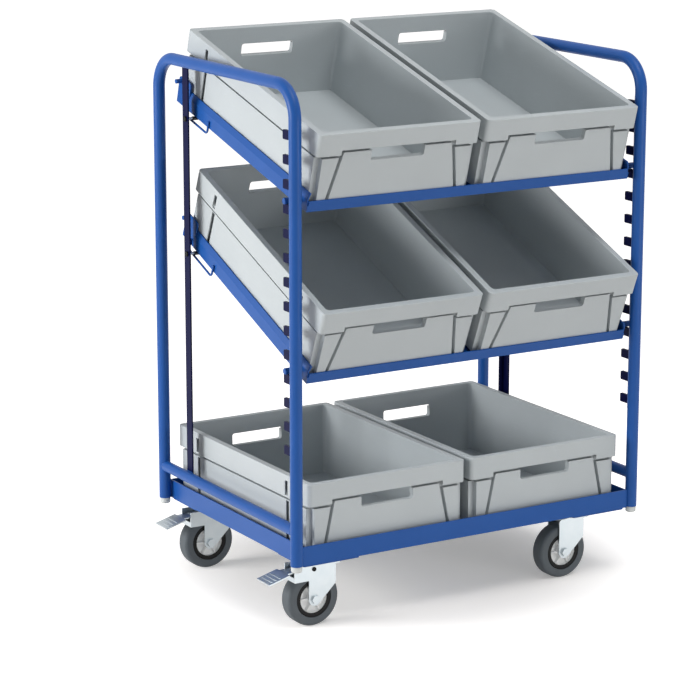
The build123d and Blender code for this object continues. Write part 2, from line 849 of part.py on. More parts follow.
for side_name, side in sides.items():
    make_bow(side_name, side)
    make_stretcher(side_name, side)
    make_post(side_name, side)
    make_rack(side_name, side)
    make_deck_side_rail(side_name, side)
make_plugs()
make_deck_end_rail("front", -1)
make_deck_end_rail("rear", 1)
make_deck_bearer()
make_corner_plates()
make_support_pins()
make_top_plates()
make_bolts()

for shelf, (tilt, tooth) in shelf_settings.items():
    seat = shelf_plane(tilt, tooth)
    for side_name, side in sides.items():
        make_shelf_side_rail(shelf, seat, side_name, side)
    make_shelf_end_rail(shelf, seat, "front", shelf_front, shelf_front_upstand)
    make_shelf_end_rail(shelf, seat, "rear", shelf_rear, shelf_rear_upstand)
    make_shelf_bearer(shelf, seat)
    make_hook_pins(shelf, seat)
    make_stirrups(shelf, seat)
    make_bushes(shelf, tilt, tooth)
    make_boxes(shelf, seat, box_length / 2 - hook_setback)

make_boxes("lower", Plane.XY.offset(deck_seat), lower_box_shift)

for end_name, end in {"front": -1, "rear": 1}.items():
    for side_name, side in sides.items():
        make_caster(end_name, end, side_name, side)
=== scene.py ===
"""Looks of the euro box trolley: finishes, hubs, rings, welds, ribs, caps and the studio around it."""
import json
from math import cos, pi, radians, sin, sqrt, tau
from typing import NamedTuple

import bpy
from bpy.props import FloatProperty, FloatVectorProperty, IntProperty, PointerProperty
from mathutils import Matrix, Vector


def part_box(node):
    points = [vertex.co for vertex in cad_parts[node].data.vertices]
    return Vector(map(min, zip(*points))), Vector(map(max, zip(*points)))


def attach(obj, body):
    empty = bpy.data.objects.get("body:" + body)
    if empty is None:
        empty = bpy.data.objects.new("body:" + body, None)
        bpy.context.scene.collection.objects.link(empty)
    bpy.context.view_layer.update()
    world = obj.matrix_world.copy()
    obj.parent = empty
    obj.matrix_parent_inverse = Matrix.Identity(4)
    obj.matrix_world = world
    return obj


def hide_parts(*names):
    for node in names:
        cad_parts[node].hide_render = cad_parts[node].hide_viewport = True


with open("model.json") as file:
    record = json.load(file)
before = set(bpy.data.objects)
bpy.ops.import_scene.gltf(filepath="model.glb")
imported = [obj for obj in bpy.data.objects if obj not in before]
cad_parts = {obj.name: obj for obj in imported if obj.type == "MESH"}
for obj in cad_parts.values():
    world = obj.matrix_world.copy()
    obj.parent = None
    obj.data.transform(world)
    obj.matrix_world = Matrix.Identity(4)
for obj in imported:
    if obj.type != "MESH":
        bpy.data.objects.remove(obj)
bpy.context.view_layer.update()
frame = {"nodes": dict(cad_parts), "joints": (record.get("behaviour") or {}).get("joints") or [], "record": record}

bl_info = {
    "name": "Euro box trolley looks",
    "version": (1, 0, 0),
    "blender": (4, 5, 0),
    "location": "3D view > Sidebar > Trolley",
    "description": "Finishes, hubs, rings, welds, ribs and caps of a euro box trolley, and its studio",
    "category": "Object",
}

mm = 0.001
sides = {"left": -1, "right": 1}
ends = {"front": -1, "rear": 1}
corners = [f"{end}_{side}" for end in ends for side in sides]
braked_corners = [corner for corner in corners if corner.endswith("left")]
shelves = ["top", "middle"]

# Straight sides that stand for a circle
hub_sides = 96
ring_sides = 72
cap_sides = 40

smooth_angle = radians(40)  # edges that turn by more stay crisp
square_on = 0.99  # least part of a face's normal along an axis where the face looks that way

# Weld beads, as shares of a bead's radius
bead_waist = 0.82  # radius between two ripples
stitch_share = 0.8  # radius of the stitches on the racks
saddle_sink = 0.6  # a stretcher's bead lies this far inside the stretcher's outline
leg_offset = 2.5  # a deck bead lies this far beside the middle of its leg
rail_stand = 0.3  # its middle stands this far out from the rail
rail_foot = 2.0  # it starts this far above the rail's lower edge

sensor_width_mm = 36.0
camera_reach = 200.0  # metres, past the far edge of the floor


class Lamp(NamedTuple):
    """Where a soft lamp hangs, what it looks at and how large it is, in metres."""

    place: tuple
    aim: tuple
    width: float
    height: float


lamps = {
    "key": Lamp(place=(-3.3, 0.8, 1.3), aim=(-0.2, 0.0, 0.6), width=1.5, height=1.0),
    "top": Lamp(place=(0.2, -1.4, 4.8), aim=(0.0, 0.0, 0.6), width=2.5, height=2.5),
    "front": Lamp(place=(0.3, -2.5, 4.6), aim=(0.0, 0.0, 0.6), width=1.5, height=1.5),
    "fill": Lamp(place=(1.5, -4.2, 0.6), aim=(0.0, 0.0, 0.5), width=1.5, height=0.6),
}


def linear(hex_colour):
    """An sRGB hex colour as the linear red, green, blue and alpha that shaders take."""
    channels = [int(hex_colour[i : i + 2], 16) / 255 for i in (1, 3, 5)]
    return (*[c / 12.92 if c <= 0.04045 else ((c + 0.055) / 1.055) ** 2.4 for c in channels], 1.0)


def toned(colour, factor, lift=0.0):
    """A linear colour made darker or paler by a factor, and lifted towards white."""
    return [min(1.0, channel * factor + lift) for channel in colour[:3]] + [1.0]


def per_metre(size_mm):
    """Texture scale of a pattern whose features are this many millimetres across."""
    return 1 / (size_mm * mm)


def add_node(tree, kind, inputs=None, **settings):
    """Add a node with its settings, and set each named input or link it to a socket."""
    node = tree.nodes.new(kind)
    for name, value in settings.items():
        setattr(node, name, value)
    for name, value in (inputs or {}).items():
        if isinstance(value, bpy.types.NodeSocket):
            tree.links.new(value, node.inputs[name])
        else:
            node.inputs[name].default_value = value
    return node


# Properties


def colour_property(label, hex_colour, description):
    """A colour, given as it looks and kept linear."""
    return FloatVectorProperty(
        name=label,
        description=description,
        subtype="COLOR",
        size=4,
        min=0.0,
        max=1.0,
        default=linear(hex_colour),
    )


def length_property(label, size_mm, description):
    """A length, given in millimetres and kept in metres."""
    return FloatProperty(name=label, description=description, unit="LENGTH", min=0.0, default=size_mm * mm)


def count_property(label, count, description):
    """How many of a small piece there are, two or more."""
    return IntProperty(name=label, description=description, min=2, default=count)


def place_property(label, place, description):
    """A point in metres."""
    return FloatVectorProperty(
        name=label, description=description, subtype="TRANSLATION", unit="LENGTH", default=place
    )


def power_property(label, watts, description):
    """The power of a lamp."""
    return FloatProperty(name=label, description=description, unit="POWER", min=0.0, default=watts)


def glow_property(label, strength, description):
    """A strength of light where 1 is white."""
    return FloatProperty(name=label, description=description, min=0.0, default=strength)


class TrolleyColours(bpy.types.PropertyGroup):
    """Colours of the trolley's finishes, and one darker blue that paints shade on the racks and rear posts."""

    frame_blue: colour_property("Frame blue", "#1C54A0", "Powder coat on tubes, rails and shelves")
    # Painted shade: the racks and rear posts wear the frame's blue coat, and this darker navy stands for the shade
    # they stand in
    rack_painted_shade: colour_property("Rack painted shade", "#0A0F3A", "Darker coat on the tooth racks and rear posts")
    box_grey: colour_property("Box grey", "#B9C0C3", "Moulded euro boxes")
    tyre_grey: colour_property("Tyre grey", "#474E53", "Tread and side walls of the wheels")
    ring_black: colour_property("Ring black", "#0E0F10", "Thread guard rings, bushes and pin caps")
    hub_white: colour_property("Hub white", "#F4F6F6", "Wheel hubs")
    plug_white: colour_property("Plug white", "#D5D9D8", "End plugs of the legs")
    zinc: colour_property("Zinc", "#C6CCCF", "Forks, plates, pins, bolts and pedals")
    floor_white: colour_property("Floor white", "#F6F2EE", "Paint of the studio floor")


class TrolleyDetails(bpy.types.PropertyGroup):
    """Sizes of the small pieces added to the trolley."""

    ring_inner_radius: length_property("Ring inside", 33.2, "Inner radius of the thread guard rings")
    ring_clearance: length_property("Ring clearance", 0.4, "Between a ring and the tyre's bead")
    ring_seat: length_property("Ring seat", 15.0, "Hub rim's side face from the middle of the wheel")
    ring_thickness: length_property("Ring thickness", 2.8, "Along the axle")
    bead_radius: length_property("Weld bead", 2.0, "Half the width of a weld bead")
    bead_ripple: length_property("Weld ripple", 2.0, "Length of one ripple along a bead")
    stitch_length: length_property("Stitch weld", 22.0, "Length of one stitch between rack and leg")
    stitch_count: count_property("Stitches", 7, "Stitch welds along one side of a rack")
    shelf_sheet: length_property("Shelf sheet", 3.0, "Thickness of the shelves' side rails")
    rib_count: count_property("Pedal ribs", 3, "Grip ribs across one pedal")
    rib_spacing: length_property("Rib spacing", 10.0, "From the pedal's tip to a grip rib, and to the next")
    rib_width: length_property("Rib width", 3.0, "Width of one grip rib")
    rib_height: length_property("Rib height", 0.8, "Rise of one grip rib above the tread")
    cap_radius: length_property("Pin cap", 5.0, "Radius of the caps on the brake pins")
    cap_thickness: length_property("Cap thickness", 2.0, "Rise of a brake pin's cap above the fork")
    cap_wall: length_property("Cap wall", 1.0, "Wall of the caps over the support pins' heads")
    cap_dimple: length_property("Cap dimple", 0.4, "Depth of the dimple in a cap's face")
    boss_radius: length_property("Hub boss", 13.0, "Radius of the boss round the axle")
    bore_radius: length_property("Hub bore", 5.05, "Radius of the bore for the axle")
    web_thickness: length_property("Hub web", 18.0, "Thickness of the hub between boss and rim")
    hub_draft: length_property("Hub draft", 1.0, "Lean of a hub's inner walls, so that it leaves its mould")
    hub_ribs: count_property("Hub ribs", 6, "Radial ribs on each face of a hub")
    hub_rib_width: length_property("Hub rib width", 4.0, "Width of one radial rib")


class TrolleyStage(bpy.types.PropertyGroup):
    """Camera, floor and light of the studio."""

    camera_place: place_property("Camera", (-3.153, -5.024, 1.912), "Where the camera stands")
    camera_target: place_property("Target", (-0.128, 0.041, 0.550), "Point in the middle of the picture")
    camera_lens: FloatProperty(
        name="Lens", description="Focal length on a sensor 36 mm wide", unit="CAMERA", default=141.3
    )
    floor_size: length_property("Floor", 120000, "Side of the square floor")
    shade_radius: length_property("Shade radius", 300, "Floor this near to the middle keeps its shadow")
    white_radius: length_property("White radius", 750, "Floor this far from the middle is white")
    floor_lift: glow_property("Floor lift", 0.22, "Glow of the floor under the trolley")
    backdrop_lift: glow_property("Backdrop lift", 0.82, "Glow of the floor around it")
    sky_left: glow_property("Sky left", 0.46, "Even light from the left side")
    sky_right: glow_property("Sky right", 0.15, "Even light from the right side")
    key: power_property("Key", 80.0, "Soft lamp on the left")
    top: power_property("Top", 62.0, "Wide soft lamp above")
    front: power_property("Front", 38.0, "Soft lamp high in front")
    fill: power_property("Fill", 33.0, "Low soft lamp in front")


# Finishes


def new_material(name):
    """An empty node tree with Object coordinates, for a finish to fill."""
    material = bpy.data.materials.new(name)
    material.use_nodes = True
    tree = material.node_tree
    tree.nodes.clear()
    coordinates = add_node(tree, "ShaderNodeTexCoord").outputs["Object"]
    return material, tree, coordinates


def powder_coat(name, colour, shine=0.22):
    """Polyester powder coat on steel, sprayed on dry and baked. The eye gets one even, satin colour with a
    faint ripple like orange peel, and slightly softer edges than bare steel has."""
    drift_mm = 80
    peel_mm = 4  # real ripples are 2 to 3 mm long, and 4 mm still shows from a few steps away
    material, tree, coordinates = new_material(name)
    drift = add_node(
        tree, "ShaderNodeTexNoise", {"Vector": coordinates, "Scale": per_metre(drift_mm), "Detail": 2.0}
    )
    tint = add_node(
        tree,
        "ShaderNodeMix",
        {"Factor": drift.outputs["Fac"], "A": colour, "B": toned(colour, 0.86)},
        data_type="RGBA",
    )
    peel = add_node(
        tree, "ShaderNodeTexNoise", {"Vector": coordinates, "Scale": per_metre(peel_mm), "Detail": 1.0}
    )
    edge = add_node(tree, "ShaderNodeBevel", {"Radius": 0.7 * mm}, samples=4)
    bump = add_node(
        tree,
        "ShaderNodeBump",
        {
            "Strength": 0.12,
            "Distance": 0.15 * mm,
            "Height": peel.outputs["Fac"],
            "Normal": edge.outputs["Normal"],
        },
    )
    gloss = add_node(
        tree, "ShaderNodeMapRange", {"Value": drift.outputs["Fac"], "To Min": 0.32, "To Max": 0.44}
    )
    shader = add_node(
        tree,
        "ShaderNodeBsdfPrincipled",
        {
            "Base Color": tint.outputs["Result"],
            "Roughness": gloss.outputs["Result"],
            "Normal": bump.outputs["Normal"],
            "Specular IOR Level": shine,
        },
    )
    add_node(tree, "ShaderNodeOutputMaterial", {"Surface": shader.outputs["BSDF"]})
    return material


def moulded_polypropylene(name, colour, grain_mm, roughness, shine=0.5):
    """Injection moulded polypropylene from a spark eroded mould. The eye gets a dull, fine grained surface,
    cloudy tone from the flow of the melt, and short pale scuffs where boxes have slid on each other. Nylon
    and polyethylene from the same kind of mould look alike, so the small plastic pieces take it too. The
    grain is given coarser than the real 0.2 mm, so that it shows in a picture of the whole trolley."""
    flow_mm = 110
    scuff_mm = (3, 40, 3)  # long from front to rear, as boxes slide
    material, tree, coordinates = new_material(name)
    flow = add_node(
        tree, "ShaderNodeTexNoise", {"Vector": coordinates, "Scale": per_metre(flow_mm), "Detail": 3.0}
    )
    tint = add_node(
        tree,
        "ShaderNodeMix",
        {"Factor": flow.outputs["Fac"], "A": colour, "B": toned(colour, 0.92)},
        data_type="RGBA",
    )
    along = add_node(
        tree,
        "ShaderNodeMapping",
        {"Vector": coordinates, "Scale": [per_metre(size_mm) for size_mm in scuff_mm]},
    )
    scratches = add_node(
        tree, "ShaderNodeTexNoise", {"Vector": along.outputs["Vector"], "Scale": 1.0, "Detail": 4.0}
    )
    scuffed = add_node(
        tree,
        "ShaderNodeMapRange",
        {"Value": scratches.outputs["Fac"], "From Min": 0.62, "From Max": 0.78, "To Max": 0.35},
    )
    worn = add_node(
        tree,
        "ShaderNodeMix",
        {"Factor": scuffed.outputs["Result"], "A": tint.outputs["Result"], "B": toned(colour, 1.2)},
        data_type="RGBA",
    )
    grain = add_node(
        tree, "ShaderNodeTexNoise", {"Vector": coordinates, "Scale": per_metre(grain_mm), "Detail": 2.0}
    )
    edge = add_node(tree, "ShaderNodeBevel", {"Radius": 1.2 * mm}, samples=4)
    bump = add_node(
        tree,
        "ShaderNodeBump",
        {
            "Strength": 0.10,
            "Distance": 0.2 * mm,
            "Height": grain.outputs["Fac"],
            "Normal": edge.outputs["Normal"],
        },
    )
    dull = add_node(
        tree,
        "ShaderNodeMapRange",
        {"Value": flow.outputs["Fac"], "To Min": roughness - 0.06, "To Max": roughness + 0.08},
    )
    shader = add_node(
        tree,
        "ShaderNodeBsdfPrincipled",
        {
            "Base Color": worn.outputs["Result"],
            "Roughness": dull.outputs["Result"],
            "Normal": bump.outputs["Normal"],
            "IOR": 1.49,
            "Specular IOR Level": shine,
        },
    )
    add_node(tree, "ShaderNodeOutputMaterial", {"Surface": shader.outputs["BSDF"]})
    return material


def elastic_rubber(colour):
    """Grey non-marking rubber, vulcanised on the hub. The eye gets a matt surface with a chalky bloom and
    dust in its pores."""
    bloom_mm = 18
    pore_mm = 1.5  # real pores are finer, and would not show
    material, tree, coordinates = new_material("grey_elastic_rubber")
    bloom = add_node(
        tree, "ShaderNodeTexNoise", {"Vector": coordinates, "Scale": per_metre(bloom_mm), "Detail": 4.0}
    )
    tint = add_node(
        tree,
        "ShaderNodeMix",
        {"Factor": bloom.outputs["Fac"], "A": colour, "B": toned(colour, 1.35, lift=0.01)},
        data_type="RGBA",
    )
    pores = add_node(
        tree, "ShaderNodeTexNoise", {"Vector": coordinates, "Scale": per_metre(pore_mm), "Detail": 2.0}
    )
    bump = add_node(
        tree, "ShaderNodeBump", {"Strength": 0.15, "Distance": 0.2 * mm, "Height": pores.outputs["Fac"]}
    )
    dull = add_node(
        tree, "ShaderNodeMapRange", {"Value": bloom.outputs["Fac"], "To Min": 0.58, "To Max": 0.75}
    )
    shader = add_node(
        tree,
        "ShaderNodeBsdfPrincipled",
        {
            "Base Color": tint.outputs["Result"],
            "Roughness": dull.outputs["Result"],
            "Normal": bump.outputs["Normal"],
            "IOR": 1.52,
        },
    )
    add_node(tree, "ShaderNodeOutputMaterial", {"Surface": shader.outputs["BSDF"]})
    return material


def zinc_plate(colour):
    """Steel with bright zinc plating, pressed and barrel plated. The eye gets a pale, soft mirror with
    cloudy patches a few centimetres across and fine rubbing marks."""
    cloud_mm = 25
    rub_mm = 1.2
    material, tree, coordinates = new_material("zinc_plated_steel")
    clouds = add_node(
        tree, "ShaderNodeTexNoise", {"Vector": coordinates, "Scale": per_metre(cloud_mm), "Detail": 3.0}
    )
    bluish = [colour[0] * 0.84, colour[1] * 0.88, colour[2] * 0.90, 1.0]
    tint = add_node(
        tree, "ShaderNodeMix", {"Factor": clouds.outputs["Fac"], "A": colour, "B": bluish}, data_type="RGBA"
    )
    rubs = add_node(
        tree, "ShaderNodeTexNoise", {"Vector": coordinates, "Scale": per_metre(rub_mm), "Detail": 3.0}
    )
    edge = add_node(tree, "ShaderNodeBevel", {"Radius": 0.5 * mm}, samples=4)
    bump = add_node(
        tree,
        "ShaderNodeBump",
        {
            "Strength": 0.08,
            "Distance": 0.1 * mm,
            "Height": rubs.outputs["Fac"],
            "Normal": edge.outputs["Normal"],
        },
    )
    gloss = add_node(
        tree, "ShaderNodeMapRange", {"Value": clouds.outputs["Fac"], "To Min": 0.28, "To Max": 0.46}
    )
    shader = add_node(
        tree,
        "ShaderNodeBsdfPrincipled",
        {
            "Base Color": tint.outputs["Result"],
            "Metallic": 1.0,
            "Roughness": gloss.outputs["Result"],
            "Normal": bump.outputs["Normal"],
        },
    )
    add_node(tree, "ShaderNodeOutputMaterial", {"Surface": shader.outputs["BSDF"]})
    return material


def black_nylon(name, colours):
    """Moulded nylon of the rings and caps, which shines less than that of the bushes."""
    return moulded_polypropylene(name, colours.ring_black, grain_mm=1.0, roughness=0.5, shine=0.2)


def nodes_of(slot):
    """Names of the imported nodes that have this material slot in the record."""
    return [part["node"] for part in frame["record"]["subparts"] if part["material_slot"] == slot]


def coat(node_names, material):
    """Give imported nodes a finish."""
    for name in node_names:
        for slot in frame["nodes"][name].material_slots:
            slot.material = material


class TROLLEY_OT_coat_frame(bpy.types.Operator):
    """Powder coat the tubes, rails, racks and shelves, with painted shade on the racks and rear posts, and finish
    the leg plugs and bushes
    """

    bl_idname = "trolley.coat_frame"
    bl_label = "Coat frame"

    def execute(self, context):
        colours = context.scene.trolley_colours
        coat(nodes_of("blue_frame"), powder_coat("blue_powder_coat", colours.frame_blue))
        # Painted shade: the racks and rear posts get a darker, duller copy of the blue coat, standing for the
        # shade they stand in
        shade_painted_nodes = [f"{side}_{node}" for side in sides for node in ("rack", "rear_post")]
        coat(shade_painted_nodes, powder_coat("navy_powder_coat", colours.rack_painted_shade, shine=0.05))
        white = colours.plug_white
        plug = moulded_polypropylene("pale_plug_polyethylene", white, grain_mm=1.5, roughness=0.5)
        coat(nodes_of("plug_plastic"), plug)
        bush = moulded_polypropylene("black_bush_nylon", colours.ring_black, grain_mm=1.0, roughness=0.4)
        coat(nodes_of("bush_plastic"), bush)
        return {"FINISHED"}


class TROLLEY_OT_finish_boxes(bpy.types.Operator):
    """Finish the six moulded euro boxes"""

    bl_idname = "trolley.finish_boxes"
    bl_label = "Finish boxes"

    def execute(self, context):
        grey = context.scene.trolley_colours.box_grey
        plastic = moulded_polypropylene("grey_box_polypropylene", grey, grain_mm=1.6, roughness=0.46)
        coat(nodes_of("box_plastic"), plastic)
        return {"FINISHED"}


class TROLLEY_OT_finish_casters(bpy.types.Operator):
    """Finish the forks, tyres, plates, pins, bolts and pedals"""

    bl_idname = "trolley.finish_casters"
    bl_label = "Finish casters"

    def execute(self, context):
        colours = context.scene.trolley_colours
        coat(nodes_of("zinc_steel"), zinc_plate(colours.zinc))
        coat(nodes_of("tyre_rubber"), elastic_rubber(colours.tyre_grey))
        return {"FINISHED"}


# Modelling


def clear_selection():
    """Operators act on all that is selected, so nothing is left selected before a new piece."""
    bpy.ops.object.select_all(action="DESELECT")


def pick(piece):
    """Select one piece alone and make it the active one."""
    clear_selection()
    piece.select_set(True)
    bpy.context.view_layer.objects.active = piece


def apply_place():
    """Put the selected piece's place, turn and scale into its mesh."""
    bpy.ops.object.transform_apply(location=True, rotation=True, scale=True)


def select_where(piece, kind, wanted):
    """Enter edit mode with only those faces or corners of a piece selected that the test wants."""
    bpy.ops.object.mode_set(mode="EDIT")
    bpy.ops.mesh.select_mode(type=kind)
    bpy.ops.mesh.select_all(action="DESELECT")
    bpy.ops.object.mode_set(mode="OBJECT")
    for element in piece.data.polygons if kind == "FACE" else piece.data.vertices:
        element.select = wanted(element)
    bpy.ops.object.mode_set(mode="EDIT")


def settle(piece, name, material, body):
    """Put a modelled piece's place into its mesh, finish it and let it ride on a body."""
    pick(piece)
    apply_place()
    bpy.ops.object.shade_smooth_by_angle(angle=smooth_angle)
    piece.name = name
    piece.data.name = name
    piece.data.materials.clear()
    piece.data.materials.append(material)
    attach(piece, body)


def copy_of(piece, place):
    """A copy of a modelled piece with its own mesh, set elsewhere."""
    pick(piece)
    bpy.ops.object.duplicate(linked=False)
    copy = bpy.context.object
    copy.data.transform(place)
    return copy


def remove_piece(piece):
    """Delete a piece that was only modelled to be copied."""
    pick(piece)
    bpy.ops.object.delete()


def join_pieces(pieces):
    """Make one piece of several."""
    pick(pieces[0])
    for piece in pieces:
        piece.select_set(True)
    bpy.ops.object.join()
    return bpy.context.object


def middle_of(node):
    """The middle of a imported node's box."""
    low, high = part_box(node)
    return (low + high) / 2


# Hubs


def model_hub(details):
    """A hub at the origin with its axle along Y: a rim, a recessed web on both faces and a bored boss."""
    low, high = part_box("front_left_hub")
    rim_radius = (high.z - low.z) / 2
    face = (high.y - low.y) / 2
    rim = details.ring_seat
    web = details.web_thickness / 2
    web_radius = details.ring_inner_radius
    draft = details.hub_draft
    clear_selection()
    bpy.ops.mesh.primitive_cylinder_add(
        radius=rim_radius, depth=2 * rim, vertices=hub_sides, location=(0, 0, 0), rotation=(pi / 2, 0, 0)
    )
    hub = bpy.context.object
    apply_place()
    select_where(hub, "FACE", lambda disc: abs(disc.normal.y) > square_on)
    bpy.ops.mesh.inset(thickness=rim_radius - web_radius)
    bpy.ops.mesh.inset(thickness=draft, depth=web - rim)
    bpy.ops.mesh.inset(thickness=web_radius - details.boss_radius - 2 * draft)
    bpy.ops.mesh.inset(thickness=draft, depth=face - web)
    bpy.ops.mesh.inset(thickness=details.boss_radius - details.bore_radius)
    bpy.ops.mesh.bridge_edge_loops()
    bpy.ops.object.mode_set(mode="OBJECT")
    return hub


def model_hub_rib(details):
    """A radial rib on the rear face of a hub at the origin. It is level with the rim and rises towards the
    boss."""
    low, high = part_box("front_left_hub")
    face = (high.y - low.y) / 2
    rim = details.ring_seat
    web = details.web_thickness / 2
    climb = 0.7 * (face - rim)
    edge = 0.2 * details.hub_rib_width
    length = details.ring_inner_radius - details.boss_radius + 2 * details.hub_draft
    middle = (details.ring_inner_radius + details.boss_radius) / 2
    clear_selection()
    bpy.ops.mesh.primitive_cube_add(size=1.0, location=(middle, rim / 2, 0))
    rib = bpy.context.object
    rib.scale = (length, rim, details.hub_rib_width)
    apply_place()
    select_where(rib, "VERT", lambda corner: corner.co.y > web and corner.co.x < middle)
    bpy.ops.transform.translate(value=(0, climb, 0))
    bpy.ops.mesh.select_all(action="SELECT")
    bpy.ops.mesh.bevel(offset=edge, segments=2, affect="EDGES")
    bpy.ops.object.mode_set(mode="OBJECT")
    return rib


class TROLLEY_OT_mould_hubs(bpy.types.Operator):
    """Mould the wheel hubs with a recessed web, radial ribs and a boss on both faces"""

    bl_idname = "trolley.mould_hubs"
    bl_label = "Mould hubs"

    def execute(self, context):
        details = context.scene.trolley_details
        white = context.scene.trolley_colours.hub_white
        plastic = moulded_polypropylene("pale_hub_polypropylene", white, grain_mm=1.2, roughness=0.42)
        hub = model_hub(details)
        rib = model_hub_rib(details)
        ribs = []
        for index in range(details.hub_ribs):
            turn = Matrix.Rotation(tau * index / details.hub_ribs, 4, "Y")
            ribs += [copy_of(rib, turn), copy_of(rib, turn @ Matrix.Rotation(pi, 4, "X"))]
        remove_piece(rib)
        hub = join_pieces([hub] + ribs)
        for corner in corners:
            copy = copy_of(hub, Matrix.Translation(middle_of(f"{corner}_hub")))
            settle(copy, f"{corner}_ribbed_hub", plastic, f"{corner}_wheel")
            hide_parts(f"{corner}_hub")
        remove_piece(hub)
        return {"FINISHED"}


# Wheel rings


def model_ring(details):
    """A flat ring round the Y axis with its back at the origin and rounded edges."""
    low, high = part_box("front_left_hub")
    outer = (high.z - low.z) / 2 - details.ring_clearance
    inner = details.ring_inner_radius
    thickness = details.ring_thickness
    edge = 0.35 * thickness
    clear_selection()
    bpy.ops.mesh.primitive_plane_add(size=1.0, location=((outer + inner) / 2, thickness / 2, 0))
    ring = bpy.context.object
    ring.scale = (outer - inner, thickness, 1.0)
    apply_place()
    bpy.ops.object.mode_set(mode="EDIT")
    bpy.ops.mesh.select_all(action="SELECT")
    bpy.ops.mesh.bevel(offset=edge, segments=3, affect="VERTICES")
    bpy.ops.mesh.delete(type="ONLY_FACE")
    bpy.ops.mesh.select_all(action="SELECT")
    bpy.ops.mesh.spin(steps=ring_sides, angle=tau, center=(0, 0, 0), axis=(0, 1, 0))
    bpy.ops.mesh.select_all(action="SELECT")
    bpy.ops.mesh.remove_doubles(threshold=0.01 * mm)
    bpy.ops.mesh.normals_make_consistent(inside=False)
    bpy.ops.object.mode_set(mode="OBJECT")
    return ring


class TROLLEY_OT_fit_wheel_rings(bpy.types.Operator):
    """Press a black thread guard ring into both faces of each wheel"""

    bl_idname = "trolley.fit_wheel_rings"
    bl_label = "Fit wheel rings"

    def execute(self, context):
        details = context.scene.trolley_details
        nylon = black_nylon("black_ring_nylon", context.scene.trolley_colours)
        ring = model_ring(details)
        for corner in corners:
            for face, turn in {"front": pi, "rear": 0.0}.items():
                place = Matrix.Translation(middle_of(f"{corner}_hub")) @ Matrix.Rotation(turn, 4, "Z")
                copy = copy_of(ring, place @ Matrix.Translation((0, details.ring_seat, 0)))
                settle(copy, f"{corner}_{face}_wheel_ring", nylon, f"{corner}_wheel")
        remove_piece(ring)
        return {"FINISHED"}


# Welds


def lay_bead(points, closed, radius):
    """A rippled weld bead along a line of points, one ripple to a point."""
    clear_selection()
    bpy.ops.curve.primitive_nurbs_path_add()
    curve = bpy.context.object.data
    curve.splines.clear()
    spline = curve.splines.new("POLY")
    spline.points.add(2 * len(points) - 1)
    for index, point in enumerate(points):
        after = points[(index + 1) % len(points)] if closed or index + 1 < len(points) else point
        for half, place, swell in ((0, point, 1.0), (1, (point + after) / 2, bead_waist)):
            spline.points[2 * index + half].co = (*place, 1.0)
            spline.points[2 * index + half].radius = swell
    spline.use_cyclic_u = closed
    curve.bevel_depth = radius
    curve.bevel_resolution = 2
    curve.use_fill_caps = True
    bpy.ops.object.convert(target="MESH")
    return bpy.context.object


def straight_bead(start, stop, radius, ripple):
    """A weld bead along a straight seam."""
    count = max(2, round((stop - start).length / ripple))
    return lay_bead([start.lerp(stop, index / (count - 1)) for index in range(count)], False, radius)


def angles_round(radius, ripple):
    """Angles of the ripples round a circular seam."""
    count = round(tau * radius / ripple)
    return [tau * index / count for index in range(count)]


def measure_bow(name):
    """A bow's tube radius, and the place of its legs across and along and of its top bar in height."""
    low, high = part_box(f"{name}_bow")
    tube = (high.x - low.x) / 2
    return tube, (low.x + high.x) / 2, high.y - tube, high.z - tube


def measure_stretcher(name):
    """A stretcher's radius and the height of its middle."""
    low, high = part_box(f"{name}_stretcher")
    return (high.x - low.x) / 2, (low.z + high.z) / 2


def outer_face(node, side):
    """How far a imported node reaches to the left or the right."""
    low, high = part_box(node)
    return high.x if side > 0 else low.x


def stretcher_beads(name, details):
    """A bead round each end of a stretcher, bent to a saddle where it meets the leg."""
    tube, leg_x, leg_y, _ = measure_bow(name)
    pipe, pipe_z = measure_stretcher(name)
    seam = pipe - saddle_sink * details.bead_radius
    beads = []
    for end in ends.values():
        saddle = []
        for angle in angles_round(seam, details.bead_ripple):
            reach = seam * cos(angle)
            depth = leg_y - sqrt(tube**2 - reach**2)
            saddle.append(Vector((leg_x + reach, end * depth, pipe_z + seam * sin(angle))))
        beads.append(lay_bead(saddle, True, details.bead_radius))
    return beads


def post_beads(name, details):
    """Beads where a rear post stands on the stretcher and meets the top bar."""
    tube, leg_x, _, bar_z = measure_bow(name)
    pipe, pipe_z = measure_stretcher(name)
    low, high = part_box(f"{name}_rear_post")
    face = outer_face(f"{name}_rear_post", sides[name])
    inset = abs(leg_x - face)
    beads = []
    for seam in (pipe_z + sqrt(pipe**2 - inset**2), bar_z - sqrt(tube**2 - inset**2)):
        start = Vector((face, low.y, seam))
        stop = Vector((face, high.y, seam))
        beads.append(straight_bead(start, stop, details.bead_radius, details.bead_ripple))
    return beads


def rack_beads(name, details):
    """Stitches up both sides of a rack, where it meets the front leg."""
    tube, leg_x, leg_y, _ = measure_bow(name)
    low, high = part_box(f"{name}_rack")
    half_thickness = (high.x - low.x) / 2
    seam = -leg_y + sqrt(tube**2 - half_thickness**2)
    spacing = (high.z - low.z - details.stitch_length) / (details.stitch_count - 1)
    radius = stitch_share * details.bead_radius
    beads = []
    for index in range(details.stitch_count):
        for side in sides.values():
            start = Vector((leg_x + side * half_thickness, seam, low.z + index * spacing))
            stop = start + Vector((0, 0, details.stitch_length))
            beads.append(straight_bead(start, stop, radius, details.bead_ripple))
    return beads


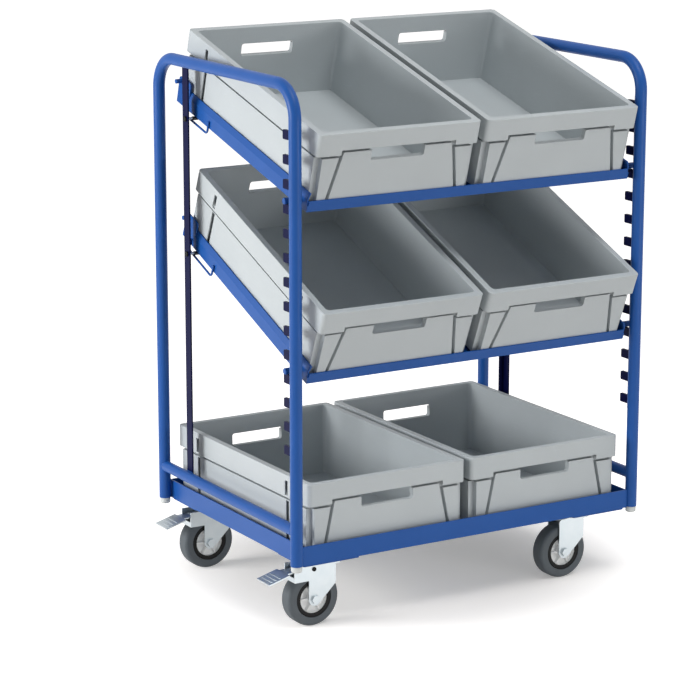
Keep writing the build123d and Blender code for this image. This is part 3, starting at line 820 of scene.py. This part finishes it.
def deck_beads(name, details):
    """Upright beads beside the legs, where the deck's side rail meets them. One that would lie past the
    rail's end is left out."""
    _, _, leg_y, _ = measure_bow(name)
    low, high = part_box(f"deck_{name}_rail")
    side = sides[name]
    radius = details.bead_radius
    x = outer_face(f"deck_{name}_rail", side) + side * rail_stand * radius
    beads = []
    for end in ends.values():
        for beside in (-1, 1):
            y = end * leg_y + beside * leg_offset * radius
            if abs(y) < high.y:
                start = Vector((x, y, low.z + rail_foot * radius))
                stop = Vector((x, y, high.z - radius))
                beads.append(straight_bead(start, stop, radius, details.bead_ripple))
    return beads


def hook_pin_beads(shelf, details):
    """A bead round the foot of each hook pin, on the outside of the shelf's side rail."""
    low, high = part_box(f"{shelf}_hook_pins")
    pin = (high.z - low.z) / 2
    middle = middle_of(f"{shelf}_hook_pins")
    rail_x = outer_face(f"{shelf}_front_rail", 1) + details.shelf_sheet
    beads = []
    for side in sides.values():
        seam = [
            Vector((side * rail_x, middle.y + pin * cos(angle), middle.z + pin * sin(angle)))
            for angle in angles_round(pin, details.bead_ripple)
        ]
        beads.append(lay_bead(seam, True, details.bead_radius))
    return beads


class TROLLEY_OT_lay_welds(bpy.types.Operator):
    """Lay weld beads where tubes, posts, racks, deck and hook pins are joined"""

    bl_idname = "trolley.lay_welds"
    bl_label = "Lay welds"

    def execute(self, context):
        details = context.scene.trolley_details
        paint = frame["nodes"]["left_bow"].material_slots[0].material
        beads = []
        for name in sides:
            for seams in (stretcher_beads, post_beads, rack_beads, deck_beads):
                beads += seams(name, details)
        settle(join_pieces(beads), "frame_welds", paint, "frame")
        for shelf in shelves:
            welds = join_pieces(hook_pin_beads(shelf, details))
            settle(welds, f"{shelf}_shelf_welds", paint, f"{shelf}_shelf")
        return {"FINISHED"}


# Pedal ribs


def model_pedal_rib(spot, normal, pedal_width, details):
    """One rounded grip rib across a pedal, half sunk into the tread at a spot."""
    length = 0.82 * pedal_width
    edge = 0.7 * details.rib_height
    clear_selection()
    bpy.ops.mesh.primitive_cube_add(size=1.0, location=spot)
    rib = bpy.context.object
    rib.scale = (details.rib_width, length, 2 * details.rib_height)
    rib.rotation_euler = Vector((0, 0, 1)).rotation_difference(normal).to_euler()
    apply_place()
    bpy.ops.object.mode_set(mode="EDIT")
    bpy.ops.mesh.select_all(action="SELECT")
    bpy.ops.mesh.bevel(offset=edge, segments=3, affect="EDGES")
    bpy.ops.object.mode_set(mode="OBJECT")
    return rib


class TROLLEY_OT_rib_pedals(bpy.types.Operator):
    """Press grip ribs across the treads of the brake pedals"""

    bl_idname = "trolley.rib_pedals"
    bl_label = "Rib pedals"

    def execute(self, context):
        details = context.scene.trolley_details
        for corner in braked_corners:
            name = f"{corner}_brake_pedal"
            pedal = frame["nodes"][name]
            low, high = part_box(name)
            ribs = []
            for index in range(details.rib_count):
                x = low.x + (index + 1) * details.rib_spacing
                above = Vector((x, middle_of(name).y, 2 * high.z))
                hit, spot, normal, _ = pedal.ray_cast(above, (0, 0, -1))
                if not hit:
                    raise RuntimeError(f"no tread under rib {index} of {name}")
                ribs.append(model_pedal_rib(spot, normal, high.y - low.y, details))
            zinc = pedal.material_slots[0].material
            settle(join_pieces(ribs), f"{corner}_pedal_ribs", zinc, f"{corner}_brake")
        return {"FINISHED"}


# Pin caps


def model_cap(radius, thickness, dimple):
    """A round cap with its back at the origin and a dimple in its face, which looks to the front."""
    edge = 0.3 * min(thickness, radius)
    land = 0.2 * radius
    slope = 0.06 * radius
    clear_selection()
    bpy.ops.mesh.primitive_cylinder_add(
        radius=radius,
        depth=thickness,
        vertices=cap_sides,
        location=(0, -thickness / 2, 0),
        rotation=(pi / 2, 0, 0),
    )
    cap = bpy.context.object
    apply_place()
    select_where(cap, "FACE", lambda face: face.normal.y < -square_on)
    bpy.ops.mesh.bevel(offset=edge, segments=4, affect="EDGES")
    select_where(cap, "FACE", lambda face: face.normal.y < -square_on)
    bpy.ops.mesh.inset(thickness=land)
    bpy.ops.mesh.inset(thickness=slope, depth=-dimple)
    bpy.ops.object.mode_set(mode="OBJECT")
    return cap


def cap_brake_pins(pivots, nylon, details):
    """Cap both ends of each brake pedal's pin, on the fork's outer faces."""
    cap = model_cap(details.cap_radius, details.cap_thickness, details.cap_dimple)
    for corner in braked_corners:
        pivot = pivots[f"{corner}_brake_press"]
        faces = [bound.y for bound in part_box(f"{corner}_fork")]
        for end, y, turn in zip(ends, faces, (0.0, pi)):
            place = Matrix.Translation((pivot.x, y, pivot.z)) @ Matrix.Rotation(turn, 4, "Z")
            settle(copy_of(cap, place), f"{corner}_{end}_pin_cap", nylon, f"{corner}_brake")
    remove_piece(cap)


def cap_support_pins(pivots, nylon, details):
    """Cap the heads of the rear support pins, which stand out from the posts' outer faces."""
    low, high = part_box("rear_support_pins")
    head_radius = (high.y - low.y) / 2
    post_face = outer_face("right_rear_post", 1)
    cover = high.x + details.cap_wall - post_face
    cap = model_cap(head_radius + details.cap_wall, cover, details.cap_dimple)
    for shelf in shelves:
        pivot = pivots[f"{shelf}_shelf_tilt"]
        for name, side in sides.items():
            place = Matrix.Translation((side * post_face, pivot.y, pivot.z))
            copy = copy_of(cap, place @ Matrix.Rotation(side * pi / 2, 4, "Z"))
            settle(copy, f"{shelf}_{name}_support_cap", nylon, "frame")
    remove_piece(cap)


class TROLLEY_OT_cap_pins(bpy.types.Operator):
    """Press black caps on the ends of the brake pedals' pins and of the rear support pins"""

    bl_idname = "trolley.cap_pins"
    bl_label = "Cap pins"

    def execute(self, context):
        details = context.scene.trolley_details
        nylon = black_nylon("black_cap_nylon", context.scene.trolley_colours)
        pivots = {joint["name"]: Vector(joint["pos_m"]) for joint in frame["joints"] if "pos_m" in joint}
        cap_brake_pins(pivots, nylon, details)
        cap_support_pins(pivots, nylon, details)
        return {"FINISHED"}


# Stage


def seen_directly(tree):
    """1 where the camera, a mirror or glass sees a surface, 0 where it only lights others."""
    path = add_node(tree, "ShaderNodeLightPath")
    mirrored = add_node(
        tree,
        "ShaderNodeMath",
        {0: path.outputs["Is Camera Ray"], 1: path.outputs["Is Glossy Ray"]},
        operation="MAXIMUM",
    )
    return add_node(
        tree,
        "ShaderNodeMath",
        {0: mirrored.outputs[0], 1: path.outputs["Is Transmission Ray"]},
        operation="MAXIMUM",
    ).outputs[0]


def studio_floor(colour, stage):
    """White painted floor. A glow seen only directly takes it to white away from the trolley, and the shadow
    stays under it."""
    material, tree, coordinates = new_material("white_studio_floor")
    paint = add_node(tree, "ShaderNodeBsdfDiffuse", {"Color": colour})
    distance = add_node(tree, "ShaderNodeVectorMath", {0: coordinates}, operation="LENGTH")
    lift = add_node(
        tree,
        "ShaderNodeMapRange",
        {
            "Value": distance.outputs["Value"],
            "From Min": stage.shade_radius,
            "From Max": stage.white_radius,
            "To Min": stage.floor_lift,
            "To Max": stage.backdrop_lift,
        },
        interpolation_type="SMOOTHSTEP",
    )
    seen = add_node(
        tree, "ShaderNodeMath", {0: seen_directly(tree), 1: lift.outputs["Result"]}, operation="MULTIPLY"
    )
    glow = add_node(tree, "ShaderNodeEmission", {"Strength": seen.outputs[0]})
    both = add_node(tree, "ShaderNodeAddShader", {0: paint.outputs["BSDF"], 1: glow.outputs["Emission"]})
    add_node(tree, "ShaderNodeOutputMaterial", {"Surface": both.outputs["Shader"]})
    return material


def studio_sky(stage):
    """Studio surroundings: white to the eye, and as a light stronger from the left than from the right."""
    world = bpy.data.worlds.new("studio_sky")
    world.use_nodes = True
    tree = world.node_tree
    tree.nodes.clear()
    direction = add_node(tree, "ShaderNodeTexCoord").outputs["Generated"]
    across = add_node(tree, "ShaderNodeSeparateXYZ", {"Vector": direction})
    soft = add_node(
        tree,
        "ShaderNodeMapRange",
        {
            "Value": across.outputs["X"],
            "From Min": -1.0,
            "To Min": stage.sky_left,
            "To Max": stage.sky_right,
        },
    )
    level = add_node(
        tree,
        "ShaderNodeMapRange",
        {"Value": seen_directly(tree), "To Min": soft.outputs["Result"], "To Max": 1.0},
    )
    light = add_node(
        tree, "ShaderNodeBackground", {"Color": linear("#FFFFFF"), "Strength": level.outputs["Result"]}
    )
    add_node(tree, "ShaderNodeOutputWorld", {"Surface": light.outputs["Background"]})
    return world


def looking_at(place, target):
    """The turn of a lamp or camera that looks from a place at a target."""
    return (Vector(target) - Vector(place)).to_track_quat("-Z", "Y").to_euler()


def hang_lamp(name, lamp, power):
    """Add one soft lamp."""
    bpy.ops.object.light_add(type="AREA", location=lamp.place, rotation=looking_at(lamp.place, lamp.aim))
    light = bpy.context.object
    light.name = name
    light.data.energy = power
    light.data.shape = "RECTANGLE"
    light.data.size = lamp.width
    light.data.size_y = lamp.height


class TROLLEY_OT_set_stage(bpy.types.Operator):
    """Set the pale floor, the soft lamps, the sky and the camera"""

    bl_idname = "trolley.set_stage"
    bl_label = "Set stage"

    def execute(self, context):
        stage = context.scene.trolley_stage
        context.scene.view_settings.view_transform = "Standard"
        clear_selection()
        bpy.ops.mesh.primitive_plane_add(size=stage.floor_size, location=(0, 0, 0))
        floor = bpy.context.object
        floor.name = "studio_floor"
        floor.data.materials.append(studio_floor(context.scene.trolley_colours.floor_white, stage))
        context.scene.world = studio_sky(stage)
        for name, lamp in lamps.items():
            hang_lamp(f"{name}_lamp", lamp, getattr(stage, name))
        bpy.ops.object.camera_add(
            location=stage.camera_place, rotation=looking_at(stage.camera_place, stage.camera_target)
        )
        camera = bpy.context.object
        camera.name = "photo_camera"
        camera.data.sensor_width = sensor_width_mm
        camera.data.lens = stage.camera_lens
        camera.data.clip_end = camera_reach
        context.scene.camera = camera
        return {"FINISHED"}


# Add-on


class TROLLEY_PT_looks(bpy.types.Panel):
    """Steps of the trolley's looks, in order"""

    bl_label = "Trolley looks"
    bl_space_type = "VIEW_3D"
    bl_region_type = "UI"
    bl_category = "Trolley"

    def draw(self, context):
        for operator in operators:
            self.layout.operator(operator.bl_idname)


operators = (
    TROLLEY_OT_coat_frame,
    TROLLEY_OT_finish_boxes,
    TROLLEY_OT_finish_casters,
    TROLLEY_OT_mould_hubs,
    TROLLEY_OT_fit_wheel_rings,
    TROLLEY_OT_lay_welds,
    TROLLEY_OT_rib_pedals,
    TROLLEY_OT_cap_pins,
    TROLLEY_OT_set_stage,
)
groups = {
    "trolley_colours": TrolleyColours,
    "trolley_details": TrolleyDetails,
    "trolley_stage": TrolleyStage,
}


def register():
    for group in groups.values():
        bpy.utils.register_class(group)
    for name, group in groups.items():
        setattr(bpy.types.Scene, name, PointerProperty(type=group))
    for operator in operators:
        bpy.utils.register_class(operator)
    bpy.utils.register_class(TROLLEY_PT_looks)


def unregister():
    bpy.utils.unregister_class(TROLLEY_PT_looks)
    for operator in reversed(operators):
        bpy.utils.unregister_class(operator)
    for name in groups:
        delattr(bpy.types.Scene, name)
    for group in groups.values():
        bpy.utils.unregister_class(group)


def main():
    register()
    bpy.ops.trolley.coat_frame()
    bpy.ops.trolley.finish_boxes()
    bpy.ops.trolley.finish_casters()
    bpy.ops.trolley.mould_hubs()
    bpy.ops.trolley.fit_wheel_rings()
    bpy.ops.trolley.lay_welds()
    bpy.ops.trolley.rib_pedals()
    bpy.ops.trolley.cap_pins()
    bpy.ops.trolley.set_stage()


if __name__ == "__main__":
    main()
